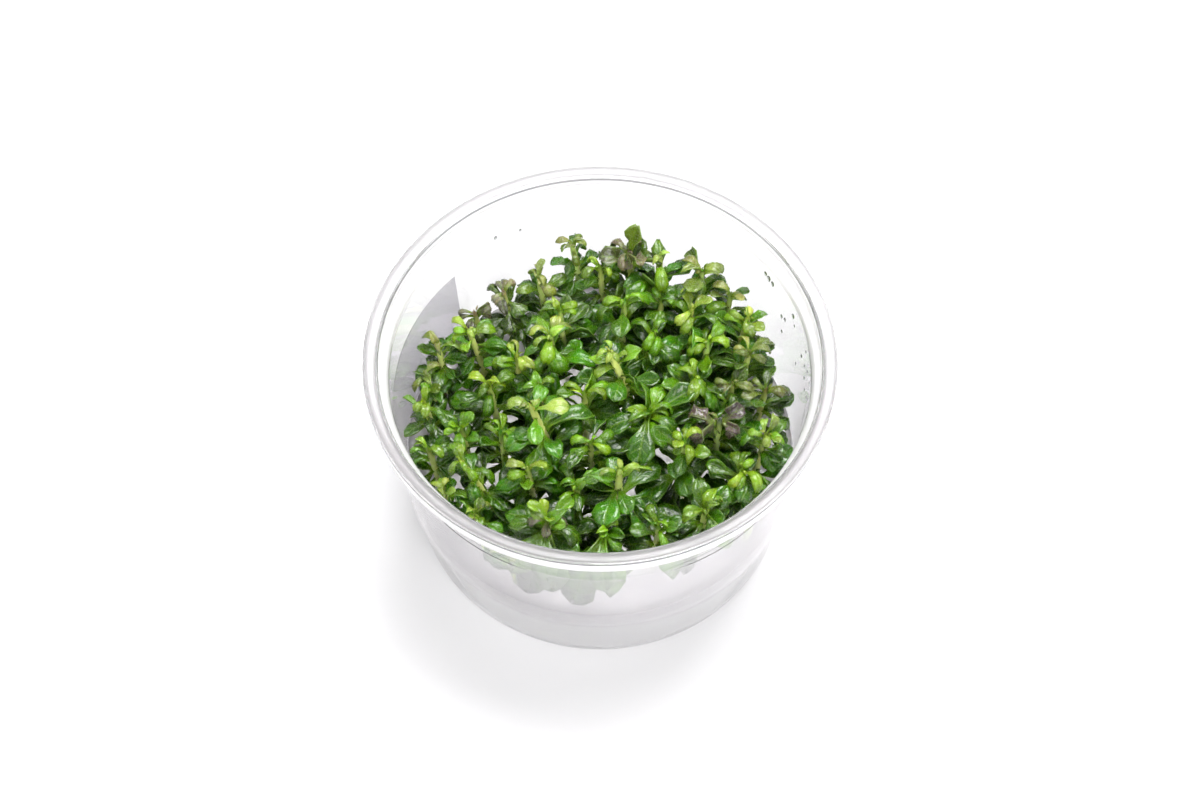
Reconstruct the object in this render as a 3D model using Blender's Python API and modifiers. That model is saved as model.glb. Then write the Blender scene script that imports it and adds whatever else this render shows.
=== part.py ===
"""A clear lidless cup of tissue-cultured marsh plants: cup, gel, side label and one solid for each shoot.

Lengths are in millimetres up to the moment a mesh is made, and metres in the scene. The cup stands
on z = 0 with its axis on +Z, and the front of the photograph is the -Y side.
"""

import math

import bmesh
import bpy
from mathutils import Vector
from mathutils.bvhtree import BVHTree

MM = 0.001
OBJECT_NAME = "plant_culture_cup"

# Cup: a thin taper wall, a step, a rounded flange and a short skirt that turns down from it.
TURN_STEPS = 40
RIM_Z = 60.7
RIM_R = 50.0
SKIRT_Z = 57.2
SHOULDER_Z = 57.0
NECK_Z = 54.6
LOW_WALL_Z = 18.5
FLOOR_Z = 1.5
UNDERSIDE_Z = 0.7
FOOT_INNER_R = 36.0
FOOT_OUTER_R = 39.8
WALL = 0.7
LOW_WALL_R = 43.2
NECK_R = 45.0
THROAT_R = 46.8

# Gel: a level top that climbs the wall in a narrow meniscus.
GAP = 0.3
GEL_Z = 22.5
MENISCUS_Z = 24.3
MENISCUS_R = 40.4

# Label: a blank film round the left and the front, its ends on edges of the cup's facets.
LABEL_LOW_Z = 20.0
LABEL_TOP_Z = 44.4
LABEL_START_DEG = 135.0
LABEL_STEPS = 23
LABEL_THICK = 0.25

# Shoots: tip x, y, z, then foot x, y, then the length of the longest leaf.
SHOOTS = (
    (-6.5, 38.0, 48.0, -4.0, 36.0, 6.5),
    (0.0, 34.5, 43.5, 1.0, 32.0, 8.0),
    (-14.0, 31.5, 43.0, -12.0, 29.0, 8.5),
    (-22.0, 29.0, 41.5, -20.0, 27.0, 8.0),
    (-28.5, 25.0, 39.0, -27.0, 23.5, 8.0),
    (-29.5, 17.5, 43.0, -26.0, 16.0, 8.5),
    (-36.5, 15.5, 40.5, -35.0, 14.0, 8.0),
    (-39.0, 8.0, 38.5, -37.0, 7.0, 7.5),
    (-11.0, 15.0, 45.0, -10.0, 12.0, 10.0),
    (-9.0, 22.5, 44.0, -8.0, 19.5, 9.0),
    (-18.5, 12.5, 40.5, -18.0, 10.0, 9.0),
    (6.5, 36.0, 47.0, 8.0, 32.5, 10.5),
    (13.5, 34.5, 47.5, 13.5, 31.0, 10.0),
    (23.0, 31.0, 47.0, 22.0, 28.0, 10.5),
    (29.5, 26.5, 44.0, 28.0, 24.0, 8.5),
    (33.0, 19.5, 45.0, 31.0, 18.0, 8.5),
    (20.5, 21.5, 45.0, 19.0, 19.5, 10.5),
    (5.5, 24.0, 45.0, 5.0, 21.0, 11.0),
    (14.0, 26.5, 42.0, 13.0, 24.5, 9.0),
    (2.0, 8.5, 48.0, 8.5, 4.5, 10.5),
    (12.0, 17.0, 44.0, 12.0, 14.5, 10.5),
    (24.0, 14.5, 43.0, 23.0, 12.5, 10.0),
    (33.0, 11.0, 44.0, 31.5, 9.5, 9.0),
    (20.5, 5.0, 43.0, 20.0, 3.0, 10.5),
    (-39.0, 0.5, 40.5, -37.0, 0.5, 8.0),
    (-15.0, -6.0, 49.0, -9.0, -9.0, 10.0),
    (-24.5, 4.5, 40.5, -23.0, 3.0, 9.0),
    (-21.5, -7.5, 40.5, -21.0, -8.5, 9.0),
    (-30.0, -16.0, 43.0, -22.0, -20.5, 8.5),
    (-30.5, -5.5, 39.0, -29.5, -5.5, 8.5),
    (-15.5, -18.0, 43.0, -14.5, -17.5, 9.0),
    (-11.0, -30.5, 43.0, -11.0, -28.0, 10.0),
    (-34.0, -21.0, 38.5, -32.0, -19.5, 7.5),
    (-26.5, -27.0, 38.5, -25.0, -26.0, 8.0),
    (-3.5, 1.0, 43.0, -3.0, 0.0, 10.0),
    (-37.5, -10.0, 37.5, -36.0, -10.0, 7.5),
    (4.0, -21.0, 47.0, 4.0, -21.0, 10.0),
    (18.0, -12.5, 45.0, 18.0, -12.5, 10.0),
    (10.5, -3.5, 42.0, 11.0, -4.5, 12.0),
    (26.0, -6.0, 43.0, 25.5, -6.5, 10.0),
    (36.0, -9.5, 43.0, 34.5, -9.5, 8.5),
    (30.5, -17.0, 40.5, 30.0, -16.5, 10.0),
    (22.5, -27.5, 42.0, 21.5, -26.5, 10.0),
    (36.5, 2.5, 42.0, 35.0, 2.0, 9.0),
    (12.5, -30.5, 40.0, 12.0, -29.5, 10.0),
    (1.0, -31.0, 40.0, 1.5, -30.0, 9.0),
    (-5.0, -21.0, 40.5, -5.0, -21.0, 10.0),
    (-2.0, -11.5, 43.0, -2.0, -11.0, 10.0),
    (-19.0, -35.0, 36.0, -18.0, -34.0, 7.5),
    (33.0, -24.5, 36.5, 32.0, -23.5, 7.5),
    (-13.5, 3.5, 41.5, -13.0, 2.0, 8.5),
    (29.0, 3.5, 42.5, 28.5, 2.5, 8.5),
)
# Numbers of the shoots whose leaves have turned olive, purple-grey or brown.
BRONZE_SHOOTS = (4, 5, 12, 14, 23, 32, 40, 44, 52)
STEM_HALF_FOOT = 0.75
STEM_HALF_TIP = 0.5
LEAF_DROPS = (0.4, 3.8, 8.0, 13.0)
LEAF_SCALES = (0.5, 0.72, 0.9, 1.0)
LEAF_PITCHES = (28.0, 46.0, 64.0, 78.0)
LEAF_ARCH_DEG = 32.0
LEAF_MID = 0.58
LEAF_WIDTH = 0.62
LEAF_HALF_THICK = 0.25
LEAF_BASE_HALF = 0.4
GOLDEN_DEG = 137.5
# Ways to place a leaf, tried in this order: turn about the stem, change of pitch, scale.
LEAF_TRIES = (
    (0, 0, 1.0),
    (18, 0, 1.0),
    (-18, 0, 1.0),
    (0, 18, 1.0),
    (0, -18, 1.0),
    (30, 8, 0.95),
    (-30, 8, 0.95),
    (25, -22, 0.9),
    (-25, -22, 0.9),
    (0, 34, 0.85),
    (0, -34, 0.8),
    (40, 10, 0.75),
    (-40, 10, 0.75),
    (0, 0, 0.7),
    (25, 20, 0.62),
    (-25, 20, 0.62),
    (0, -30, 0.6),
    (0, 0, 0.45),
)
ROOM = 0.2
WALL_ROOM = 0.45
UP = Vector((0.0, 0.0, 1.0))


def inner_radius(z):
    """Radius of the cup's inner wall at a height, on a facet's middle, where it is smallest."""
    share = (z - LOW_WALL_Z) / (NECK_Z - LOW_WALL_Z)
    radius = LOW_WALL_R + (NECK_R - LOW_WALL_R) * share
    return radius * math.cos(math.pi / TURN_STEPS)


def stem_point(shoot, z):
    """Centre of a stem at a height: it starts upright and leans more towards its tip."""
    tip_x, tip_y, tip_z, foot_x, foot_y, _ = shoot
    rise = (z - GEL_Z) / (tip_z - GEL_Z)
    lean = 0.55 * rise + 0.45 * rise * rise
    return Vector((foot_x + (tip_x - foot_x) * lean, foot_y + (tip_y - foot_y) * lean, z))


def stem_half(shoot, z):
    rise = (z - GEL_Z) / (shoot[2] - GEL_Z)
    return STEM_HALF_FOOT + (STEM_HALF_TIP - STEM_HALF_FOOT) * rise


def flat_direction(degrees):
    return Vector((math.cos(math.radians(degrees)), math.sin(math.radians(degrees)), 0.0))


def leaf_frame(base, turn_deg, pitch_deg, length):
    """Middle, tip, side direction and upper normal of a leaf that arches over from its base."""
    out = flat_direction(turn_deg)
    side = Vector((-out.y, out.x, 0.0))
    first = math.radians(pitch_deg)
    second = math.radians(pitch_deg + LEAF_ARCH_DEG)
    rising = out * math.sin(first) + UP * math.cos(first)
    falling = out * math.sin(second) + UP * math.cos(second)
    middle = base + rising * (length * LEAF_MID)
    tip = middle + falling * (length * (1.0 - LEAF_MID))
    normal = (rising + falling).normalized().cross(side)
    return middle, tip, side, normal


def box_tree(sections):
    """A tree of the closed skin through four-cornered sections."""
    points = [corner for section in sections for corner in section]
    faces = [(0, 1, 2, 3)]
    for k in range(len(sections) - 1):
        low = 4 * k
        for j in range(4):
            after = (j + 1) % 4
            faces.append((low + j, low + after, low + 4 + after, low + 4 + j))
    last = 4 * (len(sections) - 1)
    faces.append((last, last + 1, last + 2, last + 3))
    return points, BVHTree.FromPolygons(points, faces)


def section(centre, side, normal, half_width, half_thick):
    return [
        centre + side * (half_width * a) + normal * (half_thick * b)
        for a, b in ((-1, -1), (1, -1), (1, 1), (-1, 1))
    ]


def padded_leaf(base, middle, tip, side, normal, half_width):
    ahead = (tip - middle).normalized() * ROOM
    return box_tree(
        [
            section(base, side, normal, LEAF_BASE_HALF + ROOM, LEAF_BASE_HALF + ROOM),
            section(middle, side, normal, half_width + ROOM, LEAF_HALF_THICK + ROOM),
            section(tip + ahead, side, normal, ROOM, ROOM),
        ]
    )


def padded_stem(shoot):
    low = GEL_Z + GAP
    sections = []
    for k in range(5):
        z = low + (shoot[2] - low) * k / 4
        half = stem_half(shoot, z) + ROOM
        sections.append(section(stem_point(shoot, z), Vector((1, 0, 0)), Vector((0, 1, 0)), half, half))
    return box_tree(sections)


def inside_cup(points):
    for p in points:
        radius = math.hypot(p.x, p.y)
        floor = MENISCUS_Z if radius > MENISCUS_R - 1.0 else GEL_Z
        if p.z < floor + GAP or radius > inner_radius(p.z) - WALL_ROOM:
            return False
    return True


def ball(points):
    centre = sum(points, Vector()) / len(points)
    return centre, max((p - centre).length for p in points)


def plan_leaves():
    """Every leaf that has room, as (shoot, level, side, turn, pitch, length), topmost leaves first."""
    taken = []
    for index, shoot in enumerate(SHOOTS):
        points, tree = padded_stem(shoot)
        taken.append((index, None, *ball(points), tree))
    leaves = []
    for level, drop in enumerate(LEAF_DROPS):
        for index, shoot in enumerate(SHOOTS):
            z = shoot[2] - drop
            if z < GEL_Z + 3.0:
                continue
            centre = stem_point(shoot, z)
            half = stem_half(shoot, z)
            for pair in (0, 1):
                facing = index * GOLDEN_DEG + level * 90.0 + pair * 180.0
                base = centre + flat_direction(facing) * half
                for turn, pitch, scale in LEAF_TRIES:
                    length = shoot[5] * LEAF_SCALES[level] * scale
                    angle = max(12.0, LEAF_PITCHES[level] + pitch)
                    frame = leaf_frame(base, facing + turn, angle, length)
                    points, tree = padded_leaf(base, *frame, length * LEAF_WIDTH / 2)
                    if not inside_cup(points):
                        continue
                    middle, reach = ball(points)
                    clear = True
                    for owner, owner_level, spot, radius, other in taken:
                        if owner == index and owner_level in (None, level):
                            continue
                        if (spot - middle).length > radius + reach:
                            continue
                        if tree.overlap(other):
                            clear = False
                            break
                    if clear:
                        taken.append((index, level, middle, reach, tree))
                        leaves.append((index, level, pair, facing + turn, angle, length))
                        break
    return leaves


def extruded(bm, face):
    """Pulls out one face and returns the new one with its corners; a loose first face stays as the foot."""
    is_foot = len(bm.faces) == 1
    made = bmesh.ops.extrude_face_region(bm, geom=[face])["geom"]
    corners = [item for item in made if isinstance(item, bmesh.types.BMVert)]
    new = next(item for item in made if isinstance(item, bmesh.types.BMFace))
    if not is_foot:
        bmesh.ops.delete(bm, geom=[face], context="FACES_ONLY")
    return new, corners


def raise_stem(bm, top, shoot, z_from, z_to):
    """Pulls the stem's top face up to a height, narrower, and returns the new top and its sides."""
    old = stem_point(shoot, z_from)
    centre = stem_point(shoot, z_to)
    ratio = stem_half(shoot, z_to) / stem_half(shoot, z_from)
    new, corners = extruded(bm, top)
    for corner in corners:
        corner.co = centre + (corner.co - old) * ratio
    sides = {face for edge in new.edges for face in edge.link_faces if face is not new}
    return new, sides


def grow_leaf(bm, face, base, middle, tip, side, normal, half_width):
    new, corners = extruded(bm, face)
    for corner in corners:
        away = corner.co - base
        across = math.copysign(half_width, away.dot(side))
        over = math.copysign(LEAF_HALF_THICK, away.z)
        corner.co = middle + side * across + normal * over
    peak = bmesh.ops.poke(bm, faces=[new])["verts"][0]
    peak.co = tip


def add_shoot(index, shoot, leaves, collection, material):
    bm = bmesh.new()
    low = GEL_Z + GAP
    foot_half = stem_half(shoot, low)
    ring = bmesh.ops.create_circle(bm, cap_ends=True, segments=4, radius=foot_half * math.sqrt(2.0))
    turn = math.radians(index * GOLDEN_DEG)
    centre = stem_point(shoot, low)
    for k, vert in enumerate(ring["verts"]):
        corner = turn + math.radians(45.0 + 90.0 * k)
        reach = foot_half * math.sqrt(2.0)
        vert.co = centre + Vector((math.cos(corner) * reach, math.sin(corner) * reach, 0.0))
    top = next(iter(bm.faces))
    z = low
    for level in range(len(LEAF_DROPS) - 1, -1, -1):
        growing = [leaf for leaf in leaves if leaf[0] == index and leaf[1] == level]
        if not growing:
            continue
        node_z = shoot[2] - LEAF_DROPS[level]
        top, _ = raise_stem(bm, top, shoot, z, node_z - LEAF_BASE_HALF)
        top, sides = raise_stem(bm, top, shoot, node_z - LEAF_BASE_HALF, node_z + LEAF_BASE_HALF)
        z = node_z + LEAF_BASE_HALF
        node = stem_point(shoot, node_z)
        for _, _, pair, facing, pitch, length in growing:
            grown = flat_direction(index * GOLDEN_DEG + level * 90.0 + pair * 180.0)
            face = max(sides, key=lambda one: (one.calc_center_median() - node).dot(grown))
            base = node + grown * stem_half(shoot, node_z)
            frame = leaf_frame(base, facing, pitch, length)
            grow_leaf(bm, face, base, *frame, length * LEAF_WIDTH / 2)
            sides.discard(face)
    if z < shoot[2] - 0.01:
        raise_stem(bm, top, shoot, z, shoot[2])
    bmesh.ops.recalc_face_normals(bm, faces=bm.faces)
    add_mesh(f"shoot_{index + 1:02d}", bm, collection, material)


def add_mesh(name, bm, collection, material):
    bmesh.ops.scale(bm, vec=(MM, MM, MM), verts=bm.verts)
    mesh = bpy.data.meshes.new(name)
    bm.to_mesh(mesh)
    bm.free()
    obj = bpy.data.objects.new(name, mesh)
    collection.objects.link(obj)
    obj.data.materials.append(material)
    return obj


def add_turned(name, profile, collection, material, steps=TURN_STEPS, start=0.0, sweep=360.0):
    """Turns a profile, given as radius and height, about +Z."""
    bm = bmesh.new()
    verts = []
    for radius, z in profile:
        angle = math.radians(start)
        verts.append(bm.verts.new((radius * math.cos(angle), radius * math.sin(angle), z)))
    for first, second in zip(verts, verts[1:]):
        bm.edges.new((first, second))
    obj = add_mesh(name, bm, collection, material)
    screw = obj.modifiers.new("turn", "SCREW")
    screw.axis = "Z"
    screw.angle = math.radians(sweep)
    screw.steps = steps
    screw.render_steps = steps
    screw.use_merge_vertices = sweep == 360.0
    screw.merge_threshold = 0.00001
    screw.use_smooth_shade = True
    return obj


def new_material(name, colour, roughness, transmission=0.0):
    material = bpy.data.materials.new(name)
    material.use_nodes = True
    shader = material.node_tree.nodes["Principled BSDF"]
    shader.inputs["Base Color"].default_value = (*colour, 1.0)
    shader.inputs["Roughness"].default_value = roughness
    shader.inputs["Transmission Weight"].default_value = transmission
    return material


def cup_profile():
    """From the middle of the floor up the inner wall, over the flange and down the outer side."""
    return (
        (0.0, FLOOR_Z),
        (38.0, FLOOR_Z),
        (41.0, 2.8),
        (41.8, 5.0),
        (LOW_WALL_R, LOW_WALL_Z),
        (NECK_R, NECK_Z),
        (THROAT_R, SHOULDER_Z),
        (THROAT_R, RIM_Z - 0.9),
        (THROAT_R + 0.8, RIM_Z),
        (RIM_R - 0.6, RIM_Z),
        (RIM_R, RIM_Z - 0.6),
        (RIM_R, SKIRT_Z),
        (RIM_R - 0.6, SKIRT_Z),
        (RIM_R - 0.6, RIM_Z - 0.8),
        (THROAT_R + 0.8, RIM_Z - 0.8),
        (THROAT_R + 0.8, SHOULDER_Z),
        (NECK_R + 0.8, NECK_Z + 0.4),
        (LOW_WALL_R + WALL, LOW_WALL_Z),
        (41.8 + WALL, 4.8),
        (41.6, 1.6),
        (FOOT_OUTER_R, 0.0),
        (FOOT_INNER_R, 0.0),
        (FOOT_INNER_R - 0.6, UNDERSIDE_Z),
        (0.0, UNDERSIDE_Z),
    )


def gel_profile():
    """From the middle of the gel's top to the meniscus, down beside the wall and back to the middle."""
    edge = LOW_WALL_R + (NECK_R - LOW_WALL_R) * (MENISCUS_Z - LOW_WALL_Z) / (NECK_Z - LOW_WALL_Z)
    return (
        (0.0, GEL_Z),
        (MENISCUS_R, GEL_Z),
        (MENISCUS_R + 1.9, GEL_Z + 0.6),
        (edge - GAP, MENISCUS_Z),
        (41.8 - GAP, 5.0),
        (40.8, 3.05),
        (37.9, FLOOR_Z + GAP),
        (0.0, FLOOR_Z + GAP),
    )


def label_radius(z):
    outer_low = LOW_WALL_R + WALL
    outer_top = NECK_R + 0.8
    share = (z - LOW_WALL_Z) / (NECK_Z + 0.4 - LOW_WALL_Z)
    return outer_low + (outer_top - outer_low) * share + GAP


def main():
    for obj in list(bpy.data.objects):
        bpy.data.objects.remove(obj)
    parts = bpy.data.collections.new(OBJECT_NAME)
    bpy.context.scene.collection.children.link(parts)

    clear = new_material("clear_plastic", (0.95, 0.96, 0.97), 0.06, 1.0)
    jelly = new_material("culture_gel", (0.86, 0.86, 0.84), 0.12, 0.9)
    film = new_material("label_film", (0.9, 0.89, 0.9), 0.4)
    green = new_material("leaf_green", (0.12, 0.27, 0.04), 0.4)
    bronze = new_material("leaf_bronze", (0.2, 0.19, 0.1), 0.45)

    add_turned("cup", cup_profile(), parts, clear)
    add_turned("gel", gel_profile(), parts, jelly)
    label = add_turned(
        "side_label",
        ((label_radius(LABEL_TOP_Z), LABEL_TOP_Z), (label_radius(LABEL_LOW_Z), LABEL_LOW_Z)),
        parts,
        film,
        steps=LABEL_STEPS,
        start=LABEL_START_DEG,
        sweep=360.0 / TURN_STEPS * LABEL_STEPS,
    )
    skin = label.modifiers.new("thickness", "SOLIDIFY")
    skin.thickness = LABEL_THICK * MM
    skin.offset = 1.0
    skin.use_even_offset = True

    leaves = plan_leaves()
    for index, shoot in enumerate(SHOOTS):
        add_shoot(index, shoot, leaves, parts, bronze if index + 1 in BRONZE_SHOOTS else green)


main()
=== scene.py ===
"""A clear cup of young marsh plants in gel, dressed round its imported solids. Lengths are millimetres until a
mesh is made; +Z is up and the front of the photograph is the -Y side."""

import math
import random

import bmesh
import bpy
from mathutils import Matrix, Vector
from mathutils.bvhtree import BVHTree


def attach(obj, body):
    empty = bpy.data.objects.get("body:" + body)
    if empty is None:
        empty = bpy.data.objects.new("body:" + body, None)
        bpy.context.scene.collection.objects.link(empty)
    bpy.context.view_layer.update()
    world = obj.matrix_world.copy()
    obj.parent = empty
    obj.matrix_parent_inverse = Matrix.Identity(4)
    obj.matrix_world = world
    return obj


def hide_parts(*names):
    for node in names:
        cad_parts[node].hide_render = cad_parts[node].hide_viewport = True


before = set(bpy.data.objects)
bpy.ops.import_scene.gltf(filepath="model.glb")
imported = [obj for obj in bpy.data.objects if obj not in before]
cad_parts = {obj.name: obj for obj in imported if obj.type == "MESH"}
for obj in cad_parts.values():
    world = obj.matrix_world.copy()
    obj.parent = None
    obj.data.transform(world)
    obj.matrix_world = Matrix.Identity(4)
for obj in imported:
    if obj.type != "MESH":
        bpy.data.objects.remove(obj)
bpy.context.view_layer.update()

MM = 0.001
TURN = 160
UP = Vector((0.0, 0.0, 1.0))

# Places that the solids share.
CUP_STEPS = 40
LOW_WALL_Z = 18.5
LOW_WALL_R = 43.2
NECK_Z = 54.6
NECK_R = 45.0
WALL_THICK = 0.7
GAP = 0.3
GEL_Z = 22.5
MENISCUS_Z = 24.3
MENISCUS_R = 40.4
LABEL_LOW_Z = 20.0
LABEL_TOP_Z = 44.4
LABEL_ENDS_DEG = (135.5, 342.5)
LABEL_GAP = 0.32
LABEL_THICK = 0.16

# Shoots: tip x, y, z, then foot x, y, the longest leaf, and the look of the crown.
SHOOTS = (
    (-6.5, 38, 48, -4, 36, 6.5, "olive"),
    (0, 34.5, 43.5, 1, 32, 8, "green"),
    (-14, 31.5, 43, -12, 29, 8.5, "olive"),
    (-22, 29, 41.5, -20, 27, 8, "dusk"),
    (-28.5, 25, 39, -27, 23.5, 8, "dusk"),
    (-29.5, 17.5, 43, -26, 16, 8.5, "lime"),
    (-36.5, 15.5, 40.5, -35, 14, 8, "olive"),
    (-39, 8, 38.5, -37, 7, 7.5, "olive"),
    (-11, 15, 45, -10, 12, 10, "lime"),
    (-9, 22.5, 44, -8, 19.5, 9, "green"),
    (-18.5, 12.5, 40.5, -18, 10, 9, "lime"),
    (6.5, 36, 47, 8, 32.5, 10.5, "dusk"),
    (13.5, 34.5, 47.5, 13.5, 31, 10, "lime"),
    (23, 31, 47, 22, 28, 10.5, "olive"),
    (29.5, 26.5, 44, 28, 24, 8.5, "olive"),
    (33, 19.5, 45, 31, 18, 8.5, "lime"),
    (20.5, 21.5, 45, 19, 19.5, 10.5, "lime"),
    (5.5, 24, 45, 5, 21, 11, "deep"),
    (14, 26.5, 42, 13, 24.5, 9, "deep"),
    (2, 8.5, 48, 8.5, 4.5, 10.5, "lime"),
    (12, 17, 44, 12, 14.5, 10.5, "deep"),
    (24, 14.5, 43, 23, 12.5, 10, "green"),
    (33, 11, 44, 31.5, 9.5, 9, "shade"),
    (20.5, 5, 43, 20, 3, 10.5, "green"),
    (-39, 0.5, 40.5, -37, 0.5, 8, "green"),
    (-15, -6, 49, -9, -9, 10, "lime"),
    (-24.5, 4.5, 40.5, -23, 3, 9, "green"),
    (-21.5, -7.5, 40.5, -21, -8.5, 9, "deep"),
    (-30, -16, 43, -22, -20.5, 8.5, "green"),
    (-30.5, -5.5, 39, -29.5, -5.5, 8.5, "deep"),
    (-15.5, -18, 43, -14.5, -17.5, 9, "lime"),
    (-11, -30.5, 43, -11, -28, 10, "green"),
    (-34, -21, 38.5, -32, -19.5, 7.5, "lime"),
    (-26.5, -27, 38.5, -25, -26, 8, "lime"),
    (-3.5, 1, 43, -3, 0, 10, "green"),
    (-37.5, -10, 37.5, -36, -10, 7.5, "green"),
    (4, -21, 47, 4, -21, 10, "lime"),
    (18, -12.5, 45, 18, -12.5, 10, "green"),
    (10.5, -3.5, 42, 11, -4.5, 12, "deep"),
    (26, -6, 43, 25.5, -6.5, 10, "wilted"),
    (36, -9.5, 43, 34.5, -9.5, 8.5, "lime"),
    (30.5, -17, 40.5, 30, -16.5, 10, "green"),
    (22.5, -27.5, 42, 21.5, -26.5, 10, "green"),
    (36.5, 2.5, 42, 35, 2, 9, "shade"),
    (12.5, -30.5, 40, 12, -29.5, 10, "deep"),
    (1, -31, 40, 1.5, -30, 9, "deep"),
    (-5, -21, 40.5, -5, -21, 10, "deep"),
    (-2, -11.5, 43, -2, -11, 10, "deep"),
    (-19, -35, 36, -18, -34, 7.5, "lime"),
    (33, -24.5, 36.5, 32, -23.5, 7.5, "green"),
    (-13.5, 3.5, 41.5, -13, 2, 8.5, "deep"),
    (29, 3.5, 42.5, 28.5, 2.5, 8.5, "shade"),
)
STEM_HALF_FOOT = 0.75
STEM_HALF_TIP = 0.5
# Leaf pairs of the solids, from the top: depth below the tip, share of the longest leaf, pitch from upright.
LEAF_DROPS = (0.4, 3.8, 8.0, 13.0)
LEAF_SCALES = (0.5, 0.72, 0.9, 1.0)
LEAF_PITCHES = (28.0, 46.0, 64.0, 78.0)
LEAF_ARCH_DEG = 32.0
LEAF_MID = 0.58
LEAF_WIDTH = 0.62
LEAF_HALF_THICK = 0.25
LEAF_BASE_HALF = 0.4
GOLDEN_DEG = 137.5
LEAST_PITCH = 12.0
LEAST_RISE = 3.0
# Ways to place a leaf, tried in turn: turned aside, let down and shortened.
LEAF_TRIES = (
    (0, 0, 1.0), (18, 0, 1.0), (-18, 0, 1.0), (0, 18, 1.0), (0, -18, 1.0), (30, 8, 0.95),
    (-30, 8, 0.95), (25, -22, 0.9), (-25, -22, 0.9), (0, 34, 0.85), (0, -34, 0.8), (40, 10, 0.75),
    (-40, 10, 0.75), (0, 0, 0.7), (25, 20, 0.62), (-25, 20, 0.62), (0, -30, 0.6), (0, 0, 0.45),
)
ROOM = 0.2
WALL_ROOM = 0.45
# Small pairs that the solids leave out: depth below the tip, share of the longest leaf, pitch, and turn
# from the pair above.
SMALL_PAIRS = (
    (0.1, 0.2, 14, 45), (2, 0.62, 38, 45), (1.2, 0.44, 40, 15),
    (5.8, 0.8, 58, 45), (10.4, 0.9, 74, 45), (7.2, 0.62, 66, 20),
    (15.6, 0.8, 84, 20), (12.6, 0.75, 80, 70), (9, 0.8, 76, 70),
    (18, 0.8, 88, 65), (14.2, 0.8, 84, 0), (20.5, 0.7, 94, 30),
)
SMALL_LEVEL = 10
SMALL_LEAST_RISE = 1.6
CROWN_ROOM = 0.05
DEEP_DROP = 5.0
DEEP_ROOM = -0.14
# Shoots whose upper stem stands bare between its crown and the next pair.
BARE_STEMS = (20, 26, 37, 13)
BARE_DROPS = (1.0, 7.0)

# Leaves that stand out in the photograph: shoot number, depth below its tip, facing, pitch and length of the
# chord to the leaf's tip, its form, its look and its age.
NAMED_LEAVES = (
    (12, 0.8, 60, 8, 9.5, "cupped", "olive", 0.9),
    (14, 2.5, 250, 62, 8, "broad", "olive", 0.8),
    (26, 8.5, 8, 84, 12, "folded", "deep", 1.4),
    (39, 1, 262, 104, 11.5, "broad", "deep", 1.7),
    (39, 1.2, 30, 70, 11.5, "cupped", "deep", 1.5),
    (39, 1.4, 205, 92, 9.5, "broad", "deep", 1.8),
    (39, 2, 330, 100, 9.5, "hood", "deep", 1.5),
    (20, 0.5, 300, 100, 5, "tassel", "lime", 0.3),
    (20, 0.5, 190, 100, 5, "tassel", "lime", 0.3),
    (20, 2.8, 15, 92, 8.5, "hook", "lime", 0.6),
    (20, 5.5, 195, 98, 7.5, "palm", "lime", 0.6),
    (37, 1.2, 190, 96, 7, "hook", "lime", 0.5),
    (37, 1.3, 20, 92, 7, "hook", "lime", 0.4),
    (26, 1.5, 170, 84, 7.5, "hood", "lime", 0.4),
    (26, 1.6, 350, 80, 8, "spread", "lime", 0.2),
    (32, 0.6, 196, 84, 5.5, "hood", "dusk", 0.8),
    (32, 0.9, 345, 84, 5.5, "hood", "dusk", 0.9),
    (32, 0.8, 268, 92, 5, "hood", "dusk", 0.6),
    (37, 13, 52, 84, 12, "broad", "deep", 1.6),
    (37, 16, 95, 86, 11, "flat", "deep", 2),
    (38, 14, 222, 86, 12, "broad", "deep", 1.8),
    (43, 13, 150, 82, 12, "spread", "deep", 1.7),
    (27, 11, 165, 84, 10.5, "broad", "deep", 1.6),
    (25, 11, 25, 84, 10, "flat", "deep", 1.8),
    (9, 12, 215, 84, 11, "broad", "deep", 1.6),
)
# Leaves that lean on the front wall, in the same order.
WALL_LEAVES = (
    (32, 3, 262, 109, 12.5, "spread", "deep", 1.3),
    (32, 4, 239, 112, 13.5, "flat", "green", 1.5),
    (32, 6, 280, 116, 13.5, "broad", "deep", 1.6),
    (32, 9, 253, 118, 13.5, "broad", "deep", 2),
    (49, 1, 240, 118, 6.5, "spread", "green", 1),
    (49, 3, 285, 130, 7.5, "broad", "deep", 1.6),
    (46, 2, 262, 104, 12.5, "spread", "deep", 1.3),
    (46, 3, 245, 113, 13.5, "broad", "deep", 1.7),
    (46, 5, 285, 110, 12, "flat", "green", 1.4),
    (46, 7, 241, 120, 14.5, "broad", "deep", 2),
    (45, 2, 295, 104, 11, "flat", "deep", 1.2),
    (43, 2, 296, 104, 9.5, "spread", "green", 1),
)


def inner_radius(z):
    """Radius of the cup's inner wall at a height, on a facet's middle, where it is smallest."""
    share = (z - LOW_WALL_Z) / (NECK_Z - LOW_WALL_Z)
    radius = LOW_WALL_R + (NECK_R - LOW_WALL_R) * share
    return radius * math.cos(math.pi / CUP_STEPS)


def gel_level(radius):
    """The gel's height at a radius: it climbs a little at the wall."""
    return MENISCUS_Z if radius > MENISCUS_R - 1.0 else GEL_Z


def stem_point(shoot, z):
    """Centre of a stem at a height: it starts upright and leans more towards its tip."""
    tip_x, tip_y, tip_z, foot_x, foot_y = shoot[:5]
    rise = (z - GEL_Z) / (tip_z - GEL_Z)
    lean = 0.55 * rise + 0.45 * rise * rise
    return Vector((foot_x + (tip_x - foot_x) * lean, foot_y + (tip_y - foot_y) * lean, z))


def stem_half(shoot, z):
    rise = (z - GEL_Z) / (shoot[2] - GEL_Z)
    return STEM_HALF_FOOT + (STEM_HALF_TIP - STEM_HALF_FOOT) * rise


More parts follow.
